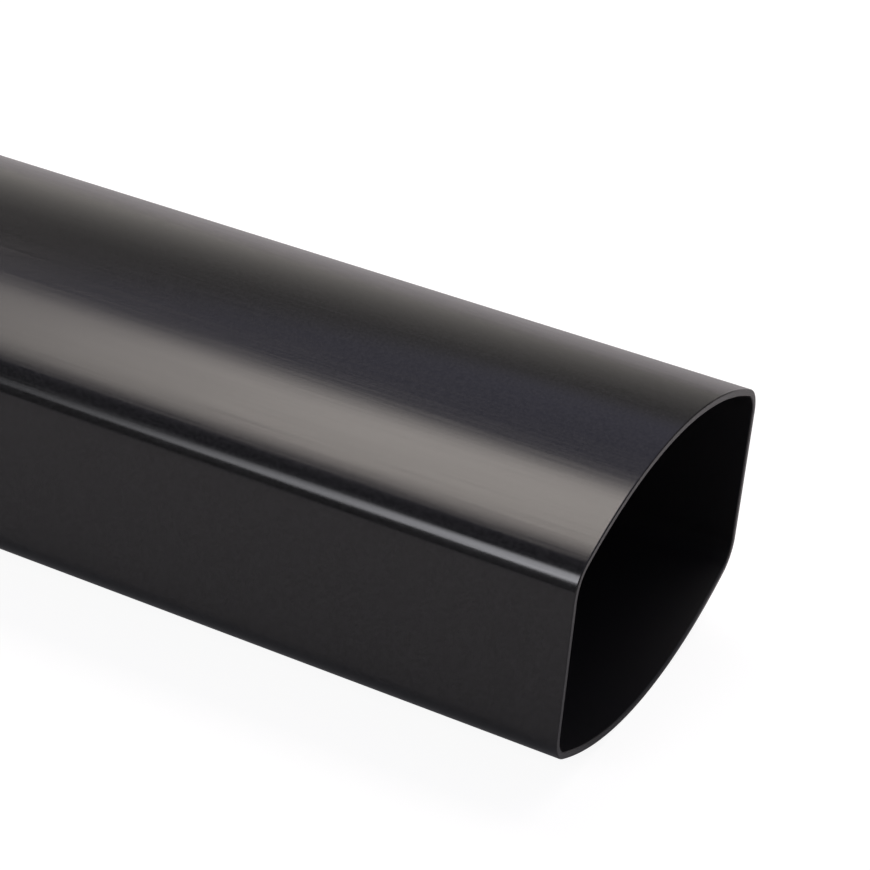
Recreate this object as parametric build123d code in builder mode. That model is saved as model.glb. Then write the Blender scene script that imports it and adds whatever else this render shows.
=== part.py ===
from build123d import *
import os

# Plastic rainwater downpipe, one extruded length.
# Its section has two upright flats and two bowed faces, with four rounded corners and one
# wall thickness all round. The pipe lies on a bowed face along Y, with its flats facing -X
# and +X. The origin is on the floor, under the middle of the length. Lengths are millimetres.

# Driving dimensions
pipe_length = 2000.0  # one sold length, between the two cut ends
flat_spacing = 105.0  # across the outside of the two flats
flat_height = 48.0  # height of a flat, up to where it would meet the bow in a sharp corner
bow_rise = 14.0  # how far each bow's crown stands beyond the ends of the flats
corner_radius = 9.5  # outside radius between a flat and a bow
wall = 1.8  # thickness of the wall, the same all round
cut_break = 0.3  # narrow bevel left on both edges of each cut end

# Worked out from the driving dimensions
half_width = flat_spacing / 2
half_flat = flat_height / 2
half_height = half_flat + bow_rise
half_length = pipe_length / 2

# The section stands upright across the pipe, and its centre is the sketch's own origin
section_plane = Plane(origin=(0, half_length, half_height), x_dir=(1, 0, 0), z_dir=(0, -1, 0))

# Downpipe
with BuildPart() as downpipe:
    with BuildSketch(section_plane):
        # Outside outline: an arc over the whole width for each bow, joined by the flats
        with BuildLine():
            ThreePointArc((-half_width, half_flat), (0, half_height), (half_width, half_flat))
            Line((half_width, half_flat), (half_width, -half_flat))
            ThreePointArc((half_width, -half_flat), (0, -half_height), (-half_width, -half_flat))
            Line((-half_width, -half_flat), (-half_width, half_flat))
        outline = make_face()
        fillet(outline.vertices(), radius=corner_radius)

        # The bore is the rounded outline again, set in by the wall
        offset(amount=-wall, mode=Mode.SUBTRACT)
    extrude(amount=pipe_length)

    # Cut ends, with the saw's sharp edges broken outside and inside
    cut_faces = downpipe.faces().filter_by(Axis.Y)
    chamfer(cut_faces.edges(), length=cut_break)

downpipe.part.label = "downpipe"

os.makedirs("parts", exist_ok=True)
export_step(downpipe.part, "parts/downpipe.step")
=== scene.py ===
import math

import bmesh
import bpy
from mathutils import Matrix, Vector


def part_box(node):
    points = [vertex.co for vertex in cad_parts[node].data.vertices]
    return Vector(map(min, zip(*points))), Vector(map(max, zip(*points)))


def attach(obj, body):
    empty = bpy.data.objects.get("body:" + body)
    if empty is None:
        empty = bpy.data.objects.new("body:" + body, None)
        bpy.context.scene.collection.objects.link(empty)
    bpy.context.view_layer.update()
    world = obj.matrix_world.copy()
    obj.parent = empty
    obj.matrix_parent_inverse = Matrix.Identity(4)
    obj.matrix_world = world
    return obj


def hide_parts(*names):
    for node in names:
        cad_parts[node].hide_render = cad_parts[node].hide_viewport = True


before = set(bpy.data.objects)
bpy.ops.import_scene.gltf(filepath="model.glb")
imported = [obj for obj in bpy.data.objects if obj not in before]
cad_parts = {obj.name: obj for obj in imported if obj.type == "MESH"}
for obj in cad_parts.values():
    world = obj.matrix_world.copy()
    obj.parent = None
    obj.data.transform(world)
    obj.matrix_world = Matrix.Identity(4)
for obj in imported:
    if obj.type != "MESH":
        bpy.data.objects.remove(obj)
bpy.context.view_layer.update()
nodeLow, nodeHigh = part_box("downpipe")
mm = 0.001  # metres


def toLinear(hexColour):
    # sRGB hex, as a colour picker shows it, to the linear values that a shader takes
    values = []
    for start in (1, 3, 5):
        part = int(hexColour[start:start + 2], 16) / 255
        values.append(part / 12.92 if part <= 0.04045 else ((part + 0.055) / 1.055) ** 2.4)
    return (*values, 1.0)


def addNode(tree, kind, settings=(), inputs=()):
    # settings are the node's own properties, and inputs take a value or another node's output
    node = tree.nodes.new(kind)
    for name, value in dict(settings).items():
        setattr(node, name, value)
    for name, value in dict(inputs).items():
        socket = node.inputs[name]
        if isinstance(value, bpy.types.NodeSocket):
            tree.links.new(value, socket)
        else:
            socket.default_value = value
    return node


# The shape of the pipe

pipe = {
    "length": nodeHigh.y - nodeLow.y,
    "flatSpacing": nodeHigh.x - nodeLow.x,
    "flatHeight": 48 * mm,  # up to where a flat would meet the bow in a sharp corner
    "bowRise": 14 * mm,
    "cornerRadius": 9.5 * mm,
    "wall": 1.8 * mm,
    "cutBreak": 0.3 * mm,
    "bowSteps": 27,  # from the crown to the corner, about a degree each
    "cornerSteps": 24,
    "breakSegments": 2,
    "mergeDistance": 0.001 * mm,
    "squareness": 0.01,  # how far a face may lean and still count as a wall or a cut face
}


def spinFrom(bm, vert, centre, angle, steps):
    # carries one vertex round the Y axis through centre, and gives the vertex at the arc's end
    made = bmesh.ops.spin(bm, geom=[vert], cent=centre, axis=(0, 1, 0), angle=angle, steps=steps)
    return next(item for item in made["geom_last"] if isinstance(item, bmesh.types.BMVert))


def makePipe(size):
    halfWidth = size["flatSpacing"] / 2
    halfHeight = size["flatHeight"] / 2 + size["bowRise"]
    halfLength = size["length"] / 2
    bowRadius = (halfWidth ** 2 + size["bowRise"] ** 2) / (2 * size["bowRise"])
    bowCentre = Vector((0, -halfLength, halfHeight - bowRadius))

    # the corner's round touches the bow and the flat from inside
    reach = bowRadius - size["cornerRadius"]
    cornerX = halfWidth - size["cornerRadius"]
    cornerCentre = bowCentre + Vector((cornerX, 0, math.sqrt(reach ** 2 - cornerX ** 2)))
    bowTurn = math.asin(cornerX / reach)

    # a quarter of the outline: crown, corner, and down the flat to half its height
    bm = bmesh.new()
    crown = bmesh.ops.create_vert(bm, co=(0, -halfLength, halfHeight))["vert"][0]
    bowEnd = spinFrom(bm, crown, bowCentre, bowTurn, size["bowSteps"])
    flatTop = spinFrom(bm, bowEnd, cornerCentre, math.pi / 2 - bowTurn, size["cornerSteps"])
    flatMiddle = bmesh.ops.extrude_vert_indiv(bm, verts=[flatTop])["verts"][0]
    bmesh.ops.translate(bm, verts=[flatMiddle], vec=(0, 0, -flatTop.co.z))

    # mirrored down and then across, and filled for the inset that gives the wall
    for axis in ("Z", "X"):
        everything = bm.verts[:] + bm.edges[:]
        bmesh.ops.mirror(bm, geom=everything, axis=axis, merge_dist=size["mergeDistance"])
    bmesh.ops.remove_doubles(bm, verts=bm.verts[:], dist=size["mergeDistance"])
    bore = bmesh.ops.contextual_create(bm, geom=bm.edges[:])["faces"][0]
    bmesh.ops.inset_region(
        bm, faces=[bore], thickness=size["wall"], use_boundary=True, use_even_offset=True)
    bmesh.ops.delete(bm, geom=[bore], context="FACES")

    # one straight extrusion, then the cut ends' edges are broken
    pulled = bmesh.ops.extrude_face_region(bm, geom=bm.faces[:])["geom"]
    farVerts = [item for item in pulled if isinstance(item, bmesh.types.BMVert)]
    bmesh.ops.translate(bm, verts=farVerts, vec=(0, size["length"], 0))
    bmesh.ops.recalc_face_normals(bm, faces=bm.faces[:])
    cutFaces = [face for face in bm.faces if abs(face.normal.y) > 1 - size["squareness"]]
    rims = [
        edge for edge in bm.edges
        if sorted(face in cutFaces for face in edge.link_faces) == [False, True]
    ]
    bmesh.ops.bevel(
        bm, geom=rims, offset=size["cutBreak"], offset_type="OFFSET", affect="EDGES",
        segments=size["breakSegments"], profile=0.5, material=-1,
    )
    bmesh.ops.translate(bm, verts=bm.verts[:], vec=(0, 0, halfHeight))

    # shading runs on round the walls and across each broken edge, and stops where they meet
    nearly = size["squareness"]
    for face in bm.faces:
        face.smooth = True
        face.normal_update()
    for edge in bm.edges:
        lean = sorted(abs(face.normal.y) for face in edge.link_faces)
        sameLean = lean[1] - lean[0] < nearly
        inBrokenEdge = lean[0] > nearly and lean[1] < 1 - nearly
        edge.smooth = sameLean or inBrokenEdge

    mesh = bpy.data.meshes.new("pipeExtrusion")
    bm.to_mesh(mesh)
    bm.free()
    made = bpy.data.objects.new("pipeExtrusion", mesh)
    bpy.context.scene.collection.objects.link(made)
    return made


pipeExtrusion = makePipe(pipe)
print("pipe made:", len(pipeExtrusion.data.polygons), "faces")


# What the pipe is made of

finish = {
    "bodyColour": "#0f0f11",
    "grainColour": "#1f1f21",
    "boreColour": "#222224",
    "cutColour": "#141415",
    "polishedRoughness": 0.145,
    "drawnRoughness": 0.21,  # in the finest die lines
    "boreRoughness": 0.32,
    "cutRoughness": 0.24,
    "ior": 1.53,
    "cutLean": 0.97,  # a face that points along the pipe more than this is a cut
    "dieLineWidth": 0.45 * mm,  # the real ones are a few hundredths wide, too fine to show
    "dieLineLength": 40 * mm,
    "dieLineDepth": 0.0025 * mm,
    "dieLineDetail": 1.5,
    "dieLineRange": (0.34, 0.7),  # the noise values of the most polished and the most drawn
    "grainSize": 0.8 * mm,
    "grainDepth": 0.0015 * mm,
    "grainDetail": 2.0,
    "grainRange": (0.35, 0.65),  # the noise values of the two colours
    "sawMarkSpacing": 0.8 * mm,  # real teeth leave about half this, which would not show
    "sawMarkLength": 6 * mm,
    "sawMarkDepth": 0.02 * mm,
    "sawMarkDetail": 2.0,
    "sawTurn": 20,  # degrees that the marks lean from level
    "fineShare": 0.6,  # how strong each finer layer of the lines and the marks is
    "middleHeight": (nodeLow.z + nodeHigh.z) / 2,
}


def makePvc(look):
    # Rigid PVC-U, black right through, drawn from a polished die and sized while it cools.
    # It gives the eye a satin gloss with faint lines along the pull, a duller bore, and dull
    # saw marks across the cuts.
    material = bpy.data.materials.new("extruded PVC-U")
    material.use_nodes = True
    tree = material.node_tree
    tree.nodes.clear()

    place = addNode(tree, "ShaderNodeTexCoord").outputs["Object"]
    facing = addNode(tree, "ShaderNodeNewGeometry").outputs["True Normal"]
    facingY = addNode(tree, "ShaderNodeSeparateXYZ", inputs={0: facing}).outputs["Y"]
    lean = addNode(tree, "ShaderNodeMath", {"operation": "ABSOLUTE"}, {0: facingY}).outputs[0]
    isCut = addNode(
        tree, "ShaderNodeMath", {"operation": "GREATER_THAN"}, {0: lean, 1: look["cutLean"]}
    ).outputs[0]

    # inside, the wall faces the pipe's middle line
    fromMiddle = addNode(
        tree, "ShaderNodeVectorMath", {"operation": "SUBTRACT"},
        {0: place, 1: (0, 0, look["middleHeight"])},
    ).outputs[0]
    outwards = addNode(
        tree, "ShaderNodeVectorMath", {"operation": "MULTIPLY"}, {0: fromMiddle, 1: (1, 0, 1)}
    ).outputs[0]
    facingOut = addNode(
        tree, "ShaderNodeVectorMath", {"operation": "DOT_PRODUCT"}, {0: outwards, 1: facing}
    ).outputs["Value"]
    isBore = addNode(
        tree, "ShaderNodeMath", {"operation": "LESS_THAN"}, {0: facingOut, 1: 0.0}).outputs[0]

    across = 1 / look["dieLineWidth"]
    along = 1 / look["dieLineLength"]
    stretched = addNode(
        tree, "ShaderNodeMapping", {"vector_type": "POINT"},
        {"Vector": place, "Scale": (across, along, across)},
    ).outputs[0]
    dieLines = addNode(
        tree, "ShaderNodeTexNoise", {"noise_dimensions": "3D"},
        {"Vector": stretched, "Scale": 1.0, "Detail": look["dieLineDetail"],
         "Roughness": look["fineShare"]},
    ).outputs["Fac"]
    grain = addNode(
        tree, "ShaderNodeTexNoise", {"noise_dimensions": "3D"},
        {"Vector": place, "Scale": 1 / look["grainSize"], "Detail": look["grainDetail"]},
    ).outputs["Fac"]

    sawn = addNode(
        tree, "ShaderNodeMapping", {"vector_type": "POINT"},
        {"Vector": place,
         "Scale": (1 / look["sawMarkLength"], 1.0, 1 / look["sawMarkSpacing"]),
         "Rotation": (0, math.radians(look["sawTurn"]), 0)},
    ).outputs[0]
    sawMarks = addNode(
        tree, "ShaderNodeTexNoise", {"noise_dimensions": "3D"},
        {"Vector": sawn, "Scale": 1.0, "Detail": look["sawMarkDetail"],
         "Roughness": look["fineShare"]},
    ).outputs["Fac"]

    dieBump = addNode(
        tree, "ShaderNodeBump", inputs={
            "Strength": 1.0, "Distance": look["dieLineDepth"], "Height": dieLines},
    ).outputs[0]
    sawBump = addNode(
        tree, "ShaderNodeBump", inputs={
            "Strength": isCut, "Distance": look["sawMarkDepth"], "Height": sawMarks,
            "Normal": dieBump},
    ).outputs[0]
    grainBump = addNode(
        tree, "ShaderNodeBump", inputs={
            "Strength": 1.0, "Distance": look["grainDepth"], "Height": grain,
            "Normal": sawBump},
    ).outputs[0]

    polished, drawn = look["dieLineRange"]
    wallRoughness = addNode(
        tree, "ShaderNodeMapRange", inputs={
            "Value": dieLines, "From Min": polished, "From Max": drawn,
            "To Min": look["polishedRoughness"], "To Max": look["drawnRoughness"]},
    ).outputs[0]
    uncutRoughness = addNode(
        tree, "ShaderNodeMix", {"data_type": "FLOAT"},
        {0: isBore, 2: wallRoughness, 3: look["boreRoughness"]},
    ).outputs[0]
    roughness = addNode(
        tree, "ShaderNodeMix", {"data_type": "FLOAT"},
        {0: isCut, 2: uncutRoughness, 3: look["cutRoughness"]},
    ).outputs[0]
    darkGrain, paleGrain = look["grainRange"]
    mottle = addNode(
        tree, "ShaderNodeMapRange",
        inputs={"Value": grain, "From Min": darkGrain, "From Max": paleGrain},
    ).outputs[0]
    wallColour = addNode(
        tree, "ShaderNodeMix", {"data_type": "RGBA"},
        {0: mottle, 6: toLinear(look["bodyColour"]), 7: toLinear(look["grainColour"])},
    ).outputs[2]
    uncutColour = addNode(
        tree, "ShaderNodeMix", {"data_type": "RGBA"},
        {0: isBore, 6: wallColour, 7: toLinear(look["boreColour"])},
    ).outputs[2]
    colour = addNode(
        tree, "ShaderNodeMix", {"data_type": "RGBA"},
        {0: isCut, 6: uncutColour, 7: toLinear(look["cutColour"])},
    ).outputs[2]

    shader = addNode(
        tree, "ShaderNodeBsdfPrincipled", inputs={
            "Base Color": colour, "Roughness": roughness, "IOR": look["ior"],
            "Normal": grainBump},
    )
    addNode(tree, "ShaderNodeOutputMaterial", inputs={"Surface": shader.outputs[0]})
    return material


pipeExtrusion.data.materials.append(makePvc(finish))
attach(pipeExtrusion, "root")
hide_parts("downpipe")
print("material made:", pipeExtrusion.data.materials[0].name)


# Floor and room

room = {
    "floorRadius": 60.0,
    "floorSides": 64,
    "floorColour": "#b7b6b8",
    "whiteStrength": 1.52,
    "whiteForCamera": 0.6,  # share of plain white in the paper that the camera sees
    "allWhiteFrom": 1.6,  # metres from the middle, where that share starts to grow to 1
    "allWhiteAt": 4.0,
    "whiteForGloss": 0.02,
    # the rest is the world's, where brightness is a strength and a place is the X, Y or Z of a
    # direction of length 1
    "wallColour": "#fff8f0",
    "wallHorizon": 0.54,
    "wallTop": 0.13,
    "wallTopHeight": 0.42,
    "wallFrontShare": 0.3,  # the wall is better lit the farther back it goes
    "wallBackShare": 1.4,
    "wallFrontAt": 0.1,
    "wallBackAt": 0.6,
    "ceilingColour": "#dfddff",
    "ceiling": 0.39,
    "ceilingSlope": 1.28,  # rise over the way back, where the wall gives way to the ceiling
    "ceilingFade": (-0.1, 0.15),
    "leastWayBack": 0.35,
    "litSide": (-0.35, 0.55),  # between these the wall and the ceiling fade in along X
    "darkSide": 0.05,
    "frontSide": 0.25,
    "frontFade": (-0.1, -0.6),  # between these the front fades in along Y
    "studioWhiteForGloss": 0.05,
}


def seenShare(tree, forCamera, forGloss):
    # how much of the plain white the camera gets, and what gloss and glass get
    ray = addNode(tree, "ShaderNodeLightPath")
    mirrored = addNode(
        tree, "ShaderNodeMath", {"operation": "ADD"},
        {0: ray.outputs["Is Glossy Ray"], 1: ray.outputs["Is Transmission Ray"]},
    ).outputs[0]
    dimmed = addNode(
        tree, "ShaderNodeMath", {"operation": "MULTIPLY"}, {0: mirrored, 1: forGloss}
    ).outputs[0]
    return addNode(
        tree, "ShaderNodeMath", {"operation": "MULTIPLY_ADD", "use_clamp": True},
        {0: ray.outputs["Is Camera Ray"], 1: forCamera, 2: dimmed},
    ).outputs[0]


def makeFloor(look):
    bm = bmesh.new()
    bmesh.ops.create_circle(
        bm, cap_ends=True, radius=look["floorRadius"], segments=look["floorSides"])
    mesh = bpy.data.meshes.new("floor")
    bm.to_mesh(mesh)
    bm.free()
    floor = bpy.data.objects.new("floor", mesh)
    bpy.context.scene.collection.objects.link(floor)

    material = bpy.data.materials.new("seamless paper")
    material.use_nodes = True
    tree = material.node_tree
    tree.nodes.clear()
    paper = addNode(
        tree, "ShaderNodeBsdfDiffuse", inputs={"Color": toLinear(look["floorColour"])})
    white = addNode(
        tree, "ShaderNodeEmission",
        inputs={"Color": (1, 1, 1, 1), "Strength": look["whiteStrength"]})
    place = addNode(tree, "ShaderNodeTexCoord").outputs["Object"]
    distance = addNode(
        tree, "ShaderNodeVectorMath", {"operation": "LENGTH"}, {0: place}).outputs["Value"]
    whiteness = addNode(
        tree, "ShaderNodeMapRange", {"interpolation_type": "SMOOTHSTEP"},
        {"Value": distance, "From Min": look["allWhiteFrom"], "From Max": look["allWhiteAt"],
         "To Min": look["whiteForCamera"], "To Max": 1.0},
    ).outputs[0]
    share = seenShare(tree, whiteness, look["whiteForGloss"])
    mixed = addNode(
        tree, "ShaderNodeMixShader", inputs={0: share, 1: paper.outputs[0], 2: white.outputs[0]})
    addNode(tree, "ShaderNodeOutputMaterial", inputs={"Surface": mixed.outputs[0]})
    mesh.materials.append(material)
    return floor


def makeRoom(look):
    # a dim studio: on the +X side a pale wall that darkens towards its top, with a grey
    # ceiling over it, not much on the -X side, and a little more in front of the mouth
    world = bpy.data.worlds.new("studio")
    bpy.context.scene.world = world
    world.use_nodes = True
    tree = world.node_tree
    tree.nodes.clear()
    direction = addNode(tree, "ShaderNodeTexCoord").outputs["Generated"]
    axes = addNode(tree, "ShaderNodeSeparateXYZ", inputs={0: direction})
    side = addNode(
        tree, "ShaderNodeMapRange", {"interpolation_type": "SMOOTHSTEP"},
        {"Value": axes.outputs["X"], "From Min": look["litSide"][0],
         "From Max": look["litSide"][1]},
    ).outputs[0]
    wall = addNode(
        tree, "ShaderNodeMapRange", inputs={
            "Value": axes.outputs["Z"], "From Min": 0.0, "From Max": look["wallTopHeight"],
            "To Min": look["wallHorizon"], "To Max": look["wallTop"]},
    ).outputs[0]
    lighting = addNode(
        tree, "ShaderNodeMapRange", inputs={
            "Value": axes.outputs["Y"],
            "From Min": look["wallFrontAt"], "From Max": look["wallBackAt"],
            "To Min": look["wallFrontShare"], "To Max": look["wallBackShare"]},
    ).outputs[0]
    litWall = addNode(
        tree, "ShaderNodeMath", {"operation": "MULTIPLY"}, {0: wall, 1: lighting}).outputs[0]
    wayBack = addNode(
        tree, "ShaderNodeMath", {"operation": "MAXIMUM"},
        {0: axes.outputs["Y"], 1: look["leastWayBack"]},
    ).outputs[0]
    slope = addNode(
        tree, "ShaderNodeMath", {"operation": "DIVIDE"}, {0: axes.outputs["Z"], 1: wayBack}
    ).outputs[0]
    isCeiling = addNode(
        tree, "ShaderNodeMapRange", {"interpolation_type": "SMOOTHSTEP"},
        {"Value": slope, "From Min": look["ceilingSlope"] + look["ceilingFade"][0],
         "From Max": look["ceilingSlope"] + look["ceilingFade"][1]},
    ).outputs[0]
    lit = addNode(
        tree, "ShaderNodeMix", {"data_type": "FLOAT"},
        {0: isCeiling, 2: litWall, 3: look["ceiling"]},
    ).outputs[0]
    front = addNode(
        tree, "ShaderNodeMapRange", {"interpolation_type": "SMOOTHSTEP"},
        {"Value": axes.outputs["Y"],
         "From Min": look["frontFade"][0], "From Max": look["frontFade"][1],
         "To Min": look["darkSide"], "To Max": look["frontSide"]},
    ).outputs[0]
    strength = addNode(
        tree, "ShaderNodeMix", {"data_type": "FLOAT"}, {0: side, 2: front, 3: lit}).outputs[0]
    tint = addNode(
        tree, "ShaderNodeMix", {"data_type": "RGBA"},
        {0: isCeiling, 6: toLinear(look["wallColour"]), 7: toLinear(look["ceilingColour"])},
    ).outputs[2]
    studio = addNode(
        tree, "ShaderNodeBackground", inputs={"Color": tint, "Strength": strength})
    white = addNode(
        tree, "ShaderNodeBackground", inputs={"Color": (1, 1, 1, 1), "Strength": 1.0})
    share = seenShare(tree, 1.0, look["studioWhiteForGloss"])
    mixed = addNode(
        tree, "ShaderNodeMixShader",
        inputs={0: share, 1: studio.outputs[0], 2: white.outputs[0]})
    addNode(tree, "ShaderNodeOutputWorld", inputs={"Surface": mixed.outputs[0]})


floor = makeFloor(room)
makeRoom(room)
print("floor and room made")


# Lamps

# A box's edges and ends are slopes from the aim, lengths over the box's distance. The edges lie
# across the pipe for the overhead box and upwards for the side box, and the ends along the pipe.
overheadBox = {
    "distance": 8.0,
    "nearEdge": 0.096,
    "farEdge": 0.605,
    "edgeFade": 0.17,
    "frontEnd": -0.9,
    "frontFadeFrom": 0.3,
    "backEnd": 0.90,
    "backFadeFrom": 0.374,
    "radiance": 4.8,
    "colour": "#fff6ed",
}
sideBox = {
    "distance": 6.0,
    "nearEdge": 0.45,
    "farEdge": 1.19,
    "edgeFade": 0.34,
    "frontEnd": -0.20,
    "frontFadeFrom": 0.26,
    "backEnd": 0.74,
    "backFadeFrom": 0.28,
    "radiance": 7.6,
    "colour": "#f9f9ff",
}
backBox = {
    "towards": (0.8, 1.9, 1.0),
    "distance": 6.0,
    "side": 3.6,
    "fade": 0.4,
    "radiance": 11.0,
    "colour": "#fff4ec",
}
# just inside the end that the camera sees
aim = Vector((0, nodeLow.y + 100 * mm, nodeHigh.z / 2))


def addSoftbox(name, place, turn, size, fades, box):
    # a panel that dims towards its front end, its back end and its far edge
    frontFade, backFade, edgeFade = fades  # as shares of its length and width
    lamp = bpy.data.lights.new(name, "AREA")
    lamp.shape = "RECTANGLE"
    lamp.size, lamp.size_y = size
    lamp.energy = math.pi * lamp.size * lamp.size_y * box["radiance"]
    lamp.color = toLinear(box["colour"])[:3]
    lamp.use_nodes = True
    tree = lamp.node_tree
    tree.nodes.clear()
    panel = addNode(tree, "ShaderNodeNewGeometry").outputs["Parametric"]
    axes = addNode(tree, "ShaderNodeSeparateXYZ", inputs={0: panel})
    share = 1.0
    for axis, dark, bright in (
        ("Y", 0.0, frontFade), ("Y", 1.0, 1.0 - backFade), ("X", 1.0, 1.0 - edgeFade),
    ):
        edgeShare = addNode(
            tree, "ShaderNodeMapRange", {"interpolation_type": "SMOOTHSTEP"},
            {"Value": axes.outputs[axis], "From Min": dark, "From Max": bright},
        ).outputs[0]
        share = addNode(
            tree, "ShaderNodeMath", {"operation": "MULTIPLY"}, {0: share, 1: edgeShare}
        ).outputs[0]
    glow = addNode(tree, "ShaderNodeEmission", inputs={"Strength": share})
    addNode(tree, "ShaderNodeOutputLight", inputs={"Surface": glow.outputs[0]})
    made = bpy.data.objects.new(name, lamp)
    made.location = aim + Vector(place)
    made.rotation_euler = turn
    made.visible_camera = False
    bpy.context.scene.collection.objects.link(made)


def addSlopedBox(name, box, overhead):
    # overhead it lies level and its edges run out to +X, or else it stands to the -X side
    width = box["farEdge"] - box["nearEdge"]
    length = box["backEnd"] - box["frontEnd"]
    across = box["distance"] * (box["nearEdge"] + box["farEdge"]) / 2
    along = box["distance"] * (box["frontEnd"] + box["backEnd"]) / 2
    if overhead:
        place, turn = (across, along, box["distance"]), (0, 0, 0)
    else:
        place, turn = (-box["distance"], along, across), (0, -math.pi / 2, 0)
    fades = (
        (box["frontFadeFrom"] - box["frontEnd"]) / length,
        (box["backEnd"] - box["backFadeFrom"]) / length,
        box["edgeFade"] / width,
    )
    size = (box["distance"] * width, box["distance"] * length)
    addSoftbox(name, place, turn, size, fades, box)


addSlopedBox("overheadBox", overheadBox, overhead=True)
addSlopedBox("sideBox", sideBox, overhead=False)
towards = Vector(backBox["towards"])
addSoftbox(
    "backBox", backBox["distance"] * towards.normalized(),
    towards.to_track_quat("Z", "Y").to_euler(), (backBox["side"], backBox["side"]),
    (backBox["fade"], backBox["fade"], backBox["fade"]), backBox,
)
print("lamps made")


# Camera

view = {
    "place": (-0.5257, -1.1867, 0.3868),
    "azimuth": -64.689,
    "elevation": 29.838,  # looking down
    "roll": 5.220,
    "lens": 114.81,
    "sensor": 36.0,
    "clipStart": 10 * mm,
    "clipEnd": 200.0,
}


def makeCamera(shot):
    data = bpy.data.cameras.new("camera")
    data.sensor_width = shot["sensor"]
    data.lens = shot["lens"]
    data.clip_start = shot["clipStart"]
    data.clip_end = shot["clipEnd"]
    camera = bpy.data.objects.new("camera", data)
    bpy.context.scene.collection.objects.link(camera)
    camera.matrix_world = (
        Matrix.Translation(shot["place"])
        @ Matrix.Rotation(math.radians(shot["azimuth"]), 4, "Z")
        @ Matrix.Rotation(math.radians(90 - shot["elevation"]), 4, "X")
        @ Matrix.Rotation(math.radians(shot["roll"]), 4, "Z")
    )
    bpy.context.scene.camera = camera


makeCamera(view)
bpy.context.scene.view_settings.view_transform = "Standard"
print("camera made")

bpy.context.view_layer.update()
